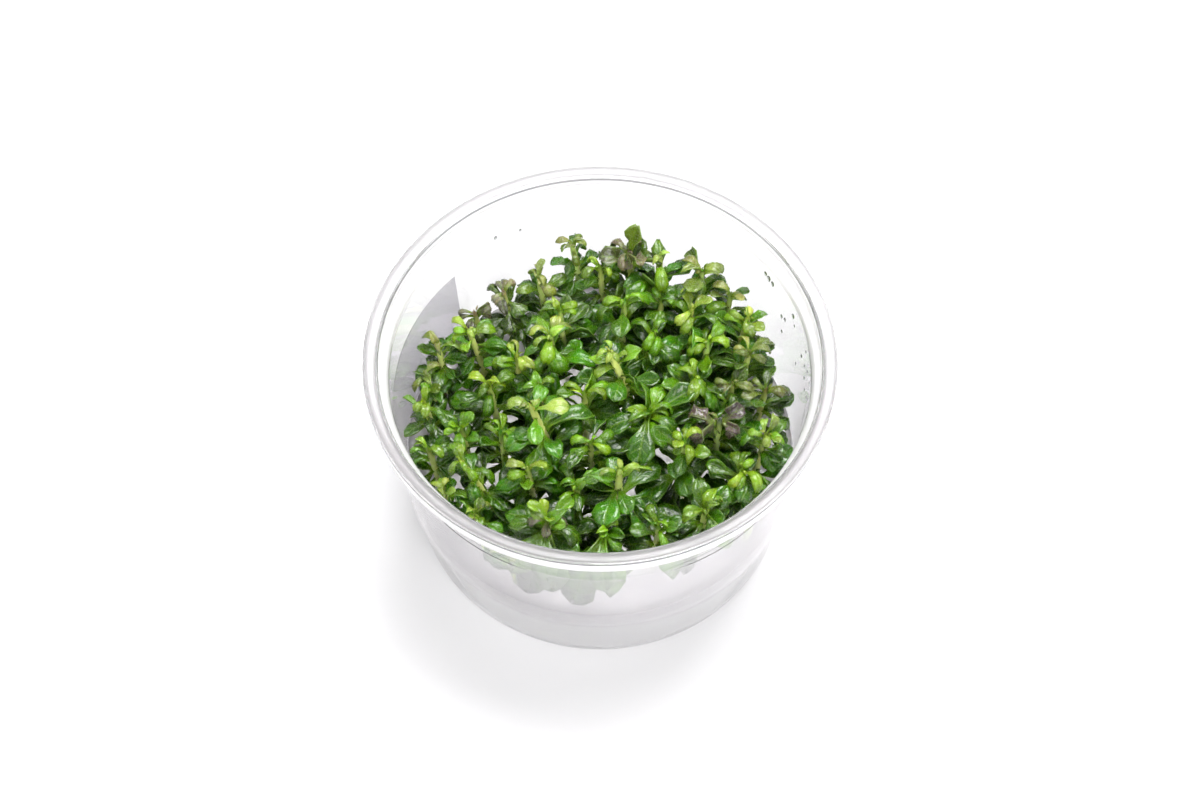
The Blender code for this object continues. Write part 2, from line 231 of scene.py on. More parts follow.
def flat_direction(degrees):
    return Vector((math.cos(math.radians(degrees)), math.sin(math.radians(degrees)), 0.0))


def leaf_frame(base, turn_deg, pitch_deg, length):
    """Middle, tip, side direction and upper normal of a leaf that arches over from its base."""
    out = flat_direction(turn_deg)
    side = Vector((-out.y, out.x, 0.0))
    first = math.radians(pitch_deg)
    second = math.radians(pitch_deg + LEAF_ARCH_DEG)
    rising = out * math.sin(first) + UP * math.cos(first)
    falling = out * math.sin(second) + UP * math.cos(second)
    middle = base + rising * (length * LEAF_MID)
    tip = middle + falling * (length * (1.0 - LEAF_MID))
    normal = (rising + falling).normalized().cross(side)
    return middle, tip, side, normal


def box_tree(sections):
    """A tree of the closed skin through four-cornered sections."""
    points = [corner for section in sections for corner in section]
    faces = [(0, 1, 2, 3)]
    for k in range(len(sections) - 1):
        low = 4 * k
        for j in range(4):
            after = (j + 1) % 4
            faces.append((low + j, low + after, low + 4 + after, low + 4 + j))
    last = 4 * (len(sections) - 1)
    faces.append((last, last + 1, last + 2, last + 3))
    return points, BVHTree.FromPolygons(points, faces)


def section(centre, side, normal, half_width, half_thick):
    return [
        centre + side * (half_width * a) + normal * (half_thick * b)
        for a, b in ((-1, -1), (1, -1), (1, 1), (-1, 1))
    ]


def padded_leaf(base, middle, tip, side, normal, half_width, room):
    ahead = (tip - middle).normalized() * room
    return box_tree(
        [
            section(base, side, normal, LEAF_BASE_HALF + room, LEAF_BASE_HALF + room),
            section(middle, side, normal, half_width + room, LEAF_HALF_THICK + room),
            section(tip + ahead, side, normal, max(0.02, room), max(0.02, room)),
        ]
    )


def padded_stem(shoot):
    low = GEL_Z + GAP
    sections = []
    for k in range(5):
        z = low + (shoot[2] - low) * k / 4
        half = stem_half(shoot, z) + ROOM
        sections.append(section(stem_point(shoot, z), Vector((1, 0, 0)), Vector((0, 1, 0)), half, half))
    return box_tree(sections)


def inside_cup(points):
    for p in points:
        radius = math.hypot(p.x, p.y)
        if p.z < gel_level(radius) + GAP or radius > inner_radius(p.z) - WALL_ROOM:
            return False
    return True


def ball(points):
    centre = sum(points, Vector()) / len(points)
    return centre, max((p - centre).length for p in points)


def has_room(taken, index, level, middle, reach, tree):
    """Whether a leaf clears all that is placed, apart from its own stem and its own pair or small leaves."""
    for owner, owner_level, spot, radius, other in taken:
        if owner == index and (owner_level in (None, level) or level >= SMALL_LEVEL):
            continue
        if (spot - middle).length <= radius + reach and tree.overlap(other):
            return False
    return True


def place_leaf(taken, index, level, base, facing, pitch, longest, room):
    """The first way to place a leaf that has room, as (turn, pitch, length), or None."""
    for turn, lift, scale in LEAF_TRIES:
        length = longest * scale
        angle = max(LEAST_PITCH, pitch + lift)
        leaf = leaf_frame(base, facing + turn, angle, length)
        points, tree = padded_leaf(base, *leaf, length * LEAF_WIDTH / 2, room)
        if not inside_cup(points):
            continue
        middle, reach = ball(points)
        if has_room(taken, index, level, middle, reach, tree):
            taken.append((index, level, middle, reach, tree))
            return facing + turn, angle, length
    return None


def leaf_base(shoot, drop, facing):
    """Where a leaf sets out from its stem, a depth below the tip."""
    z = shoot[2] - drop
    return stem_point(shoot, z) + flat_direction(facing) * stem_half(shoot, z)


def plan_leaves():
    """The leaves of the solids, topmost first, then the small pairs between them, each where it has room."""
    taken = []
    for index, shoot in enumerate(SHOOTS):
        points, tree = padded_stem(shoot)
        taken.append((index, None, *ball(points), tree))
    leaves = []

    def place_pair(index, level, drop, aside, pitch, share, room):
        shoot = SHOOTS[index]
        for pair in (0, 1):
            facing = index * GOLDEN_DEG + aside + pair * 180.0
            base = leaf_base(shoot, drop, facing)
            found = place_leaf(taken, index, level, base, facing, pitch, shoot[5] * share, room)
            if found:
                leaves.append((index, drop, base, *found))

    for level, drop in enumerate(LEAF_DROPS):
        for index, shoot in enumerate(SHOOTS):
            if shoot[2] - drop >= GEL_Z + LEAST_RISE:
                place_pair(index, level, drop, level * 90.0, LEAF_PITCHES[level], LEAF_SCALES[level], ROOM)
    for row in NAMED_LEAVES + WALL_LEAVES:
        index, drop, facing, pitch, length = row[0] - 1, *row[1:5]
        base = leaf_base(SHOOTS[index], drop, facing)
        leaves.append((index, drop, base, facing, pitch, length, *row[5:8], row in WALL_LEAVES))
    for number, (drop, share, pitch, aside) in enumerate(SMALL_PAIRS):
        room = CROWN_ROOM if drop < DEEP_DROP else DEEP_ROOM
        for index, shoot in enumerate(SHOOTS):
            bare = index + 1 in BARE_STEMS and BARE_DROPS[0] < drop < BARE_DROPS[1]
            if shoot[2] - drop >= GEL_Z + SMALL_LEAST_RISE and not bare:
                place_pair(index, SMALL_LEVEL + number, drop, aside, pitch, share, room)
    return leaves


# Modelling, as by hand.
def deselect():
    if bpy.context.mode != "OBJECT":
        bpy.ops.object.mode_set(mode="OBJECT")
    bpy.ops.object.select_all(action="DESELECT")


def pick(test):
    """In edit mode, selects the corners that pass a test of their place in millimetres."""
    mesh = bmesh.from_edit_mesh(bpy.context.object.data)
    bpy.ops.mesh.select_all(action="DESELECT")
    for vert in mesh.verts:
        vert.select_set(test(vert.co / MM))
    mesh.select_flush(True)
    bmesh.update_edit_mesh(bpy.context.object.data)


def start_ring(radius, spot, sides, fill="NOTHING"):
    """A ring in edit mode, all of it picked. Its radius and place are in millimetres."""
    deselect()
    place = tuple(p * MM for p in spot)
    bpy.ops.mesh.primitive_circle_add(vertices=sides, radius=radius * MM, fill_type=fill, location=place)
    bpy.ops.object.transform_apply(location=True)
    bpy.ops.object.mode_set(mode="EDIT")
    bpy.ops.mesh.select_all(action="SELECT")


def join(pieces, name):
    deselect()
    for piece in pieces:
        piece.select_set(True)
    bpy.context.view_layer.objects.active = pieces[0]
    bpy.ops.object.join()
    joined = bpy.context.object
    joined.name = name
    joined.data.name = name
    return joined


def settle(name, smooth_deg=None):
    """Leaves edit mode with the place in the mesh and the faces outwards."""
    bpy.ops.mesh.select_all(action="SELECT")
    bpy.ops.mesh.remove_doubles(threshold=0.000002)
    bpy.ops.mesh.normals_make_consistent(inside=False)
    bpy.ops.object.mode_set(mode="OBJECT")
    obj = bpy.context.object
    obj.name = name
    obj.data.name = name
    bpy.ops.object.transform_apply(location=True, rotation=True, scale=True)
    if smooth_deg is None:
        bpy.ops.object.shade_smooth()
    else:
        bpy.ops.object.shade_smooth_by_angle(angle=math.radians(smooth_deg))
    return obj


def pull_rings(profile, start):
    """Pulls the picked ring along a profile of radius and height, in millimetres."""
    radius, height = start
    for next_radius, next_height in profile:
        rise = (next_height - height) * MM
        bpy.ops.mesh.extrude_region_move(TRANSFORM_OT_translate={"value": (0.0, 0.0, rise)})
        grow = next_radius / radius
        bpy.ops.transform.resize(value=(grow, grow, 1.0), center_override=(0.0, 0.0, next_height * MM))
        radius, height = next_radius, next_height


def turned(name, profile, smooth_deg):
    """A closed turned form, from a disc inside round to a disc underneath."""
    radius, height = profile[0]
    start_ring(radius, (0, 0, height), TURN)
    pull_rings(profile[1:], profile[0])
    bpy.ops.mesh.edge_face_add()
    pick(lambda p: abs(p.z - height) < 0.001 and abs(math.hypot(p.x, p.y) - radius) < 0.001)
    bpy.ops.mesh.edge_face_add()
    return settle(name, smooth_deg)


# Rings of the cup as radius and height: up the inside, over the flange, down the outside and under the foot.
CUP_PROFILE = (
    (36, 1.5), (38.4, 1.55), (39.9, 1.95), (41, 2.9), (41.6, 4.1), (41.85, 5.5), (42, 6.6),
    (43.07, 17.2), (LOW_WALL_R, LOW_WALL_Z), (43.26, 19.7), (44.94, 53.4), (NECK_R, NECK_Z),
    (45.15, 55.3), (45.6, 56), (46.25, 56.6), (46.65, 57.2), (46.8, 57.9), (46.8, 59.2),
    (46.95, 59.8), (47.35, 60.3), (47.9, 60.6), (48.5, 60.7), (49.3, 60.7), (49.7, 60.6),
    (49.92, 60.35), (50, 59.9), (50, 57.6), (49.9, 57.3), (49.7, 57.2), (49.5, 57.3),
    (49.4, 57.6), (49.4, 59.4), (49.25, 59.75), (48.9, 59.9), (48.2, 59.9), (47.75, 59.75),
    (47.6, 59.4), (47.6, 57.8), (47.4, 57), (46.8, 56.3), (46.1, 55.7), (45.85, 55.1),
    (45.71, 54.4), (45.66, 53.4), (43.96, 19.7), (LOW_WALL_R + WALL_THICK, LOW_WALL_Z),
    (43.78, 17.2), (42.7, 6.6), (42.55, 5.3), (42.2, 3.5), (41.5, 1.8), (40.6, 0.7), (39.8, 0.15),
    (39.2, 0), (36.5, 0), (36, 0.15), (35.7, 0.5), (35.4, 0.7),
)

# The gel's surface from its middle out, its rise at the wall, then down just inside the wall.
WALL_EDGE = 0.12
GEL_SIDE = (
    (LOW_WALL_R + 0.29, MENISCUS_Z), (LOW_WALL_R + 0.2, MENISCUS_Z - 0.3), (43.42, 23), (43.26, 19.7),
    (LOW_WALL_R, LOW_WALL_Z), (43.07, 17.2), (42, 6.6), (41.85, 5.5), (41.6, 4.1), (41, 2.98),
    (39.9, 2.06), (38.4, 1.66),
)
GEL_PROFILE = (
    (36, GEL_Z),
    (MENISCUS_R, GEL_Z),
    (MENISCUS_R + 1.2, GEL_Z + 0.2),
    (MENISCUS_R + 2.1, GEL_Z + 0.65),
    (MENISCUS_R + 2.7, GEL_Z + 1.3),
    *((radius - WALL_EDGE, z) for radius, z in GEL_SIDE),
    (36, 1.62),
)

LABEL_TURN = 200
LABEL_ROWS = 6


def label_ring(row):
    """Radius and height of a row of the label, which follows the wall's taper outside it."""
    z = LABEL_LOW_Z + (LABEL_TOP_Z - LABEL_LOW_Z) * row / LABEL_ROWS
    taper = (NECK_R - LOW_WALL_R) * (z - LOW_WALL_Z) / (NECK_Z - LOW_WALL_Z)
    return LOW_WALL_R + WALL_THICK + LABEL_GAP + taper, z


def off_label(p):
    angle = math.degrees(math.atan2(p.y, p.x)) % 360.0
    return angle < LABEL_ENDS_DEG[0] or angle > LABEL_ENDS_DEG[1]


def label_film():
    """A film round the left and the front: an arc of a ring pulled up, then given its thickness."""
    radius, z = label_ring(0)
    start_ring(radius, (0, 0, z), LABEL_TURN)
    pick(off_label)
    bpy.ops.mesh.delete(type="VERT")
    bpy.ops.mesh.select_all(action="SELECT")
    pull_rings([label_ring(row) for row in range(1, LABEL_ROWS + 1)], (radius, z))
    bpy.ops.mesh.select_all(action="SELECT")
    bpy.ops.mesh.normals_make_consistent(inside=False)
    bpy.ops.object.mode_set(mode="OBJECT")
    obj = bpy.context.object
    skin = obj.modifiers.new("thickness", "SOLIDIFY")
    skin.thickness = LABEL_THICK * MM
    skin.offset = 1.0
    bpy.ops.object.modifier_apply(modifier="thickness")
    bpy.ops.object.mode_set(mode="EDIT")
    return settle("blank_label", 40)


# Rows of a leaf along its length: place and half width. The first two make its short stalk.
SPOON = ((0.0, 0.13), (0.18, 0.16), (0.38, 0.36), (0.58, 0.80), (0.78, 1.0), (0.93, 0.62), (1.0, 0.05))
OVAL = ((0.0, 0.12), (0.18, 0.17), (0.36, 0.56), (0.55, 0.97), (0.74, 0.93), (0.90, 0.48), (1.0, 0.03))
LANCE = ((0.0, 0.15), (0.14, 0.19), (0.31, 0.70), (0.49, 1.0), (0.68, 0.80), (0.87, 0.36), (1.0, 0.03))
ROWS = 6
COLUMNS = 4
LEAF_THICK = 0.03
# Each form of length 1: outline, width, fold along the rib, roll of the margins, twist, sideways sweep, waves
# in the margins, and the bend at each row, in degrees.
LEAF_FORMS = {
    "bud": (LANCE, 0.36, 34, 10, 0, 0, 0.0, (10, 12, 12, 14, 12, 10)),
    "tassel": (LANCE, 0.34, -18, -16, 10, 12, 0.0, (-30, 24, 44, 50, 34, 20)),
    "young": (LANCE, 0.38, 22, -16, 0, 14, 0.04, (-10, 20, 30, 34, 30, 20)),
    "hook": (SPOON, 0.36, -18, -34, 12, -12, 0.05, (-24, 20, 42, 46, 40, 30)),
    "claw": (OVAL, 0.38, -22, -30, -18, 12, 0.06, (-20, 14, 38, 48, 46, 34)),
    "hood": (SPOON, 0.56, -14, -34, 8, -8, 0.06, (-22, 16, 34, 40, 36, 28)),
    "palm": (OVAL, 0.34, 18, -34, -12, 18, 0.05, (-22, 16, 34, 40, 40, 34)),
    "cupped": (SPOON, 0.58, 28, 24, 8, -10, 0.05, (-4, 10, -2, -8, -8, -4)),
    "spread": (SPOON, 0.52, 20, -20, 16, 14, 0.08, (-4, 16, 12, 12, 20, 22)),
    "flat": (OVAL, 0.54, 12, -20, -10, -16, 0.08, (10, 8, 4, 8, 14, 20)),
    "droop": (OVAL, 0.52, -16, -26, -18, 12, 0.08, (0, 34, 34, 20, 12, 8)),
    "broad": (SPOON, 0.62, 16, -22, 10, -12, 0.08, (0, 16, 10, 8, 16, 24)),
    "wave": (OVAL, 0.50, 22, -22, 34, 18, 0.14, (18, -12, -4, 22, 32, 24)),
    "turned": (LANCE, 0.46, 24, -14, 70, -20, 0.08, (4, 14, 16, 14, 20, 16)),
    "folded": (SPOON, 0.52, 46, -8, -24, 16, 0.08, (-6, 22, 20, 12, 14, 16)),
    "crumpled": (SPOON, 0.74, 26, 30, 50, -24, 0.22, (-10, 46, -34, 52, -20, 44)),
    "withered": (SPOON, 0.66, -24, 36, -40, 26, 0.18, (-20, 50, 40, -26, 44, 30)),
}


def pick_part(obj, rows, columns):
    """In edit mode, selects a leaf's corners by rows and columns. A grid numbers its corners row by row."""
    mesh = bmesh.from_edit_mesh(obj.data)
    bpy.ops.mesh.select_all(action="DESELECT")
    for vert in mesh.verts:
        row, column = divmod(vert.index, COLUMNS + 1)
        vert.select_set(row in rows and column in columns)
    mesh.select_flush(True)
    bmesh.update_edit_mesh(obj.data)


def rib_point(obj, row):
    mesh = bmesh.from_edit_mesh(obj.data)
    mesh.verts.ensure_lookup_table()
    return mesh.verts[row * (COLUMNS + 1) + COLUMNS // 2].co.copy()


def leaf_form(finishes, name, outline, width, fold, roll, twist, sweep, wave, bends):
    """One leaf 1 m long, its base at the origin, running along +Y, with its upper face up."""
    deselect()
    bpy.ops.mesh.primitive_grid_add(x_subdivisions=COLUMNS, y_subdivisions=ROWS, size=1.0)
    obj = bpy.context.object
    bpy.ops.object.mode_set(mode="EDIT")
    bpy.ops.mesh.select_all(action="SELECT")
    bpy.ops.transform.translate(value=(0.0, 0.5, 0.0))
    all_rows = range(ROWS + 1)
    all_columns = range(COLUMNS + 1)
    for row, (place, half) in enumerate(outline):
        pick_part(obj, (row,), all_columns)
        bpy.ops.transform.translate(value=(0.0, place - row / ROWS, 0.0))
        bpy.ops.transform.resize(value=(half * width, 1.0, 1.0), center_override=(0.0, place, 0.0))
    for way, columns in ((-1, (0, 1)), (1, (COLUMNS, COLUMNS - 1))):
        pick_part(obj, all_rows, columns)
        turn_about("Y", -way * fold, (0.0, 0.5, 0.0))
        pick_part(obj, all_rows, columns[:1])
        lift = math.sin(math.radians(fold)) * 0.25 * width
        turn_about("Y", -way * roll, (way * 0.25 * width, 0.5, lift))
    if wave:
        for row in range(2, ROWS):
            for column, start in ((0, 0.0), (COLUMNS, 2.0)):
                pick_part(obj, (row,), (column,))
                lift = wave * width * math.sin(2.3 * row + start)
                bpy.ops.transform.translate(value=(0.0, 0.0, lift))
    for row in range(1, ROWS + 1):
        spot = rib_point(obj, row - 1)
        pick_part(obj, range(row, ROWS + 1), all_columns)
        turn_about("X", -bends[row - 1], spot)
        turn_about("Y", twist / ROWS, spot)
        turn_about("Z", sweep / ROWS, spot)
    bpy.ops.object.mode_set(mode="OBJECT")
    obj.name = "leaf_form_" + name
    for finish in finishes:
        obj.data.materials.append(finish)
    tip = obj.data.vertices[ROWS * (COLUMNS + 1) + COLUMNS // 2].co.copy()
    skin = obj.modifiers.new("thickness", "SOLIDIFY")
    skin.thickness = LEAF_THICK
    skin.offset = 0.0
    skin.material_offset = 1
    bpy.ops.object.modifier_apply(modifier="thickness")
    bpy.ops.object.shade_smooth()
    return obj, tip


def turn_about(axis, degrees, centre):
    """Turns what is picked about an axis, right-handed. With no window the operator turns the other way."""
    if abs(degrees) < 0.01:
        return
    bpy.ops.transform.rotate(value=-math.radians(degrees), orient_axis=axis, center_override=tuple(centre))


# Colours of leaves, in linear light: young, grown, old.
PALETTE = {
    "lime": ((0.26, 0.34, 0.055), (0.110, 0.230, 0.005), (0.036, 0.145, 0.001)),
    "green": ((0.185, 0.31, 0.012), (0.078, 0.190, 0.001), (0.032, 0.108, 0.001)),
    "deep": ((0.125, 0.27, 0.004), (0.046, 0.145, 0.001), (0.018, 0.072, 0.001)),
    "olive": ((0.20, 0.23, 0.055), (0.090, 0.145, 0.012), (0.032, 0.110, 0.001)),
    "shade": ((0.15, 0.17, 0.042), (0.075, 0.110, 0.015), (0.030, 0.090, 0.003)),
    "dusk": ((0.16, 0.14, 0.085), (0.095, 0.085, 0.055), (0.040, 0.100, 0.005)),
    "wilted": ((0.11, 0.08, 0.070), (0.085, 0.066, 0.058), (0.034, 0.095, 0.004)),
}
STEM_TOP = (0.58, 0.70, 0.19)
STEM_LOW = (0.62, 0.72, 0.26)


def blend_colour(a, b, share):
    return tuple(p + (q - p) * share for p, q in zip(a, b))


def aged_colour(look, age):
    """Young at age 0, grown at 1 and old from 2."""
    young, grown, old = PALETTE[look]
    if age < 1.0:
        return blend_colour(young, grown, max(0.0, age))
    return blend_colour(grown, old, min(1.0, age - 1.0))


AGE_DEPTH = 2.8
AGE_SPREAD = (-0.35, 0.5)
SHADE_SPREAD = (0.62, 1.3)
WARM_SPREAD = (0.9, 1.2)


def leaf_colour(look, drop, chance):
    """Older further down the stem, each leaf a little off the last."""
    colour = aged_colour(look, drop / AGE_DEPTH + chance.uniform(*AGE_SPREAD))
    shade = chance.uniform(*SHADE_SPREAD)
    warm = chance.uniform(*WARM_SPREAD)
    return (colour[0] * shade * warm, colour[1] * shade, colour[2] * shade)


def paint(mesh, colour):
    layer = mesh.color_attributes.get("tint") or mesh.color_attributes.new("tint", "FLOAT_COLOR", "POINT")
    layer.data.foreach_set("color", [*colour, 1.0] * len(mesh.vertices))


# Forms by depth below the tip, with the depth where each kind ends.
BUD_FORMS = ("bud", "tassel", "tassel")
WILTED_FORMS = ("crumpled", "withered")
CROWN_FORMS = ("hook", "palm", "claw", "hook", "palm", "tassel", "hood", "young", "spread")
UPPER_FORMS = ("droop", "wave", "spread", "folded", "turned", "cupped", "hook", "flat", "hood")
LOWER_FORMS = ("broad", "droop", "flat", "spread", "turned", "wave", "cupped", "broad")
DULL_FORMS = ("crumpled", "hook", "hood", "claw", "withered", "palm")
BUD_END = 0.35
CROWN_END = 3.0
UPPER_END = 7.0
# Pitch of the chord of leaves that arch over, whatever way they set out, and how much longer they grow.
HANGS = {
    "tassel": (50, 96), "hook": (78, 112), "claw": (84, 120), "hood": (72, 108), "palm": (70, 104),
    "crumpled": (50, 110), "withered": (70, 130),
}
STRETCH = {
    "tassel": 1.2, "hook": 1.42, "claw": 1.42, "hood": 1.16, "palm": 1.42, "young": 1.1,
    "crumpled": 1.1, "withered": 1.1,
}


def choose_form(look, drop, chance):
    if drop < BUD_END:
        return chance.choice(BUD_FORMS)
    if look == "wilted" and drop < UPPER_END:
        return chance.choice(WILTED_FORMS)
    if look == "dusk" and drop < UPPER_END:
        return chance.choice(DULL_FORMS)
    if drop < CROWN_END:
        return chance.choice(CROWN_FORMS)
    if drop < UPPER_END:
        return chance.choice(UPPER_FORMS)
    return chance.choice(LOWER_FORMS)


LEAF_WALL_ROOM = 0.25
LEAF_GEL_ROOM = 0.25
STEEPEST_PITCH = 8.0
# In front the leaves keep back from the wall, but for one clump that leans on it.
FRONT_ROOM = 4.2
FRONT_Y = -24.0
CLUMP_X = (-25.0, 3.0)
# How far a leaf is lifted and shortened, in turn, until it is clear.
LEAF_GUARDS = ((0, 1.0), (14, 1.0), (30, 0.95), (46, 0.9), (30, 0.75), (60, 0.8), (46, 0.6), (60, 0.45))
WALL_GUARDS = (
    (0, 1.0), (0, 0.94), (0, 0.88), (0, 0.82), (8, 0.88), (0, 0.76), (12, 0.8), (0, 0.68),
    (20, 0.8),
)


def fits_cup(points, at_wall):
    """Whether a leaf's corners, in millimetres, clear the wall and the gel."""
    for p in points:
        radius = math.hypot(p.x, p.y)
        room = LEAF_WALL_ROOM
        if not at_wall and p.y < FRONT_Y:
            room = 0.5 * FRONT_ROOM if CLUMP_X[0] < p.x < CLUMP_X[1] else FRONT_ROOM
        if p.z < gel_level(radius) + LEAF_GEL_ROOM or radius > inner_radius(p.z) - room:
            return False
    return True


def copy_leaf(form, tip, base, facing, pitch, length, colour, roll_deg, at_wall=False, flipped=False):
    """A copy of a leaf form with its own mesh, lifted or shortened until it clears the wall and the gel."""
    outline = [v.co for v in form.data.vertices]
    flip = Matrix.Scale(-1.0 if flipped else 1.0, 4, (1.0, 0.0, 0.0))
    for lift, share in WALL_GUARDS if at_wall else LEAF_GUARDS:
        steep = max(STEEPEST_PITCH, pitch - lift)
        place = leaf_place(tip, base, facing, steep, length * share, roll_deg) @ flip
        if fits_cup([place @ co / MM for co in outline], at_wall):
            break
    else:
        return None
    leaf = form.copy()
    leaf.data = form.data.copy()
    leaf.data.transform(place)
    if flipped:
        leaf.data.flip_normals()
    paint(leaf.data, colour)
    bpy.context.scene.collection.objects.link(leaf)
    return leaf


def leaf_place(tip, base, facing, pitch, length, roll_deg):
    ahead = flat_direction(facing) * math.sin(math.radians(pitch)) + UP * math.cos(math.radians(pitch))
    aside = flat_direction(facing + 90.0)
    over = aside.cross(ahead) * -1.0
    level = Matrix.Rotation(-math.atan2(tip.z, tip.y), 4, "X")
    roll = Matrix.Rotation(math.radians(roll_deg), 4, "Y")
    stand = Matrix((aside * -1.0, ahead, over)).transposed().to_4x4()
    return Matrix.Translation(base * MM) @ stand @ roll @ level @ Matrix.Scale(length * MM, 4)


# A stem sits in the gel to a depth. It is thicker at its joints, and narrows to a bud above its tip.
STEM_SIDES = 8
STEM_ROOT = 3.5
STEM_STOUT = 1.12
BARE_STOUT = 1.35
JOINT_DROPS = (*LEAF_DROPS, 5.8, 10.4, 15.6)
JOINT_RINGS = (-0.9, -0.3, 0.25)
JOINT_REACH = 0.35
JOINT_SHARE = 1.18
STRAIGHT_SHARE = 0.92
BUD_RINGS = (0.25, 0.7)
BUD_DROP = 0.8
BUD_HALF = 0.14
BUD_REACH = 2.4
BUD_AGE = 0.5
WARMTH = (-0.04, 0.05)
# How leaves differ from their plan, in degrees and in size. The crowns of bare stems are smaller.
PITCH_SPREAD = (-14, 26)
TURN_SPREAD = (-26, 26)
SIZE_SPREAD = (0.86, 1.18)
BARE_CROWN = 0.7


def stem_rings(shoot):
    """Heights of a stem's rings, and of the joints among them."""
    joints = sorted({round(shoot[2] - drop, 2) for drop in JOINT_DROPS})
    joints = [z for z in joints if z > GEL_Z + 1.0]
    rings = [GEL_Z - STEM_ROOT, GEL_Z - 1.0]
    for joint in joints:
        rings += [joint + away for away in JOINT_RINGS]
    below = sorted(z for z in rings if z < shoot[2] - 0.1)
    return below + [shoot[2] + rise for rise in BUD_RINGS], joints


def grow_stem(shoot, bare, chance):
    """A ring pulled up along the stem's line, a little thicker at each pair of leaves."""
    stout = BARE_STOUT if bare else STEM_STOUT
    rings, joints = stem_rings(shoot)
    start = stem_point(shoot, rings[0])
    half = stem_half(shoot, rings[0]) * 1.05
    start_ring(half, start, STEM_SIDES, "NGON")
    for z in rings[1:]:
        at_joint = any(abs(z - joint) < JOINT_REACH for joint in joints)
        wanted = stem_half(shoot, z) * (JOINT_SHARE if at_joint else STRAIGHT_SHARE) * stout
        if z > shoot[2] - BUD_DROP:
            wanted = max(BUD_HALF, wanted * (shoot[2] + BUD_DROP - z) / (2.0 * BUD_DROP))
        spot = stem_point(shoot, z)
        move = (spot - start) * MM
        bpy.ops.mesh.extrude_region_move(TRANSFORM_OT_translate={"value": tuple(move)})
        grow = wanted / half
        bpy.ops.transform.resize(value=(grow, grow, 1.0), center_override=tuple(spot * MM))
        start, half = spot, wanted
    stem = settle("stem")
    tint = stem.data.color_attributes.new("tint", "FLOAT_COLOR", "POINT")
    warm = chance.uniform(*WARMTH)
    bud = aged_colour(shoot[6], BUD_AGE)
    for vert, cell in zip(stem.data.vertices, tint.data):
        rise = (vert.co.z / MM - GEL_Z) / (shoot[2] - GEL_Z)
        colour = blend_colour(STEM_LOW, STEM_TOP, min(1.0, max(0.0, rise)))
        near_bud = 1.0 - (shoot[2] - vert.co.z / MM) / BUD_REACH
        colour = blend_colour(colour, bud, min(1.0, max(0.0, near_bud)))
        cell.color = (colour[0] + warm, colour[1], colour[2], 1.0)
    return stem


def grow_plants(finishes):
    forms = {name: leaf_form(finishes, name, *values) for name, values in LEAF_FORMS.items()}
    leaves = plan_leaves()
    plants = []
    for index, shoot in enumerate(SHOOTS):
        chance = random.Random(100 + index)
        stem = grow_stem(shoot, index + 1 in BARE_STEMS, chance)
        for finish in finishes:
            stem.data.materials.append(finish)
        for face in stem.data.polygons:
            face.material_index = 2
        grown = [stem]
        for owner, drop, base, facing, pitch, length, *named in leaves:
            if owner != index:
                continue
            if named:
                kind, look, age, at_wall = named
                colour = aged_colour(look, age)
                leaf = copy_leaf(*forms[kind], base, facing, pitch, length, colour, 0.0, at_wall)
            else:
                kind = choose_form(shoot[6], drop, chance)
                if index + 1 in BARE_STEMS and drop < BARE_DROPS[0]:
                    kind, length = "tassel", BARE_CROWN * length
                if kind in HANGS:
                    pitch = chance.uniform(*HANGS[kind])
                else:
                    pitch = pitch + LEAF_ARCH_DEG * (1.0 - LEAF_MID) + chance.uniform(*PITCH_SPREAD)
                facing += chance.uniform(*TURN_SPREAD)
                length = length * chance.uniform(*SIZE_SPREAD) * STRETCH.get(kind, 1.0)
                colour = leaf_colour(shoot[6], drop, chance)
                roll = chance.uniform(*TURN_SPREAD)
                flipped = chance.random() < 0.5
                leaf = copy_leaf(*forms[kind], base, facing, pitch, length, colour, roll, False, flipped)
            if leaf:
                grown.append(leaf)
        plant = join(grown, f"plant_{index + 1:02d}")
        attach(plant, "root")
        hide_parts(f"shoot_{index + 1:02d}")
        plants.append(plant)
    for form, _ in forms.values():
        bpy.data.objects.remove(form)
    return plants


# Materials.
def new_finish(name):
    """A new material, its tree and its shader."""
    finish = bpy.data.materials.new(name)
    finish.use_nodes = True
    return finish, finish.node_tree, finish.node_tree.nodes["Principled BSDF"]


def feed(tree, node, inputs):
    """Gives a node's inputs their values, or links them to the sockets of other nodes."""
    for name, value in inputs.items():
        if isinstance(value, bpy.types.NodeSocket):
            tree.links.new(value, node.inputs[name])
        else:
            node.inputs[name].default_value = value


def new_group(name, vector, numbers, outputs):
    """A node group that takes a vector and numbers, and gives numbers."""
    tree = bpy.data.node_groups.new(name, "ShaderNodeTree")
    tree.interface.new_socket(vector, in_out="INPUT", socket_type="NodeSocketVector")
    for label, value in numbers.items():
        socket = tree.interface.new_socket(label, in_out="INPUT", socket_type="NodeSocketFloat")
        socket.default_value = value
    for label in outputs:
        tree.interface.new_socket(label, in_out="OUTPUT", socket_type="NodeSocketFloat")
    entry = tree.nodes.new("NodeGroupInput")
    return tree, entry.outputs, tree.nodes.new("NodeGroupOutput")


def add_group(tree, group, inputs):
    node = tree.nodes.new("ShaderNodeGroup")
    node.node_tree = group
    feed(tree, node, inputs)
    return node.outputs


def math_node(tree, kind, first, second=None):
    node = tree.nodes.new("ShaderNodeMath")
    node.operation = kind
    feed(tree, node, {0: first} if second is None else {0: first, 1: second})
    return node.outputs["Value"]


def range_node(tree, value, low, high, first=0.0, last=1.0):
    """Takes a value between two limits smoothly over to two others."""
    node = tree.nodes.new("ShaderNodeMapRange")
    node.interpolation_type = "SMOOTHSTEP"
    feed(tree, node, {"Value": value, "From Min": low, "From Max": high, "To Min": first, "To Max": last})
    return node.outputs["Result"]


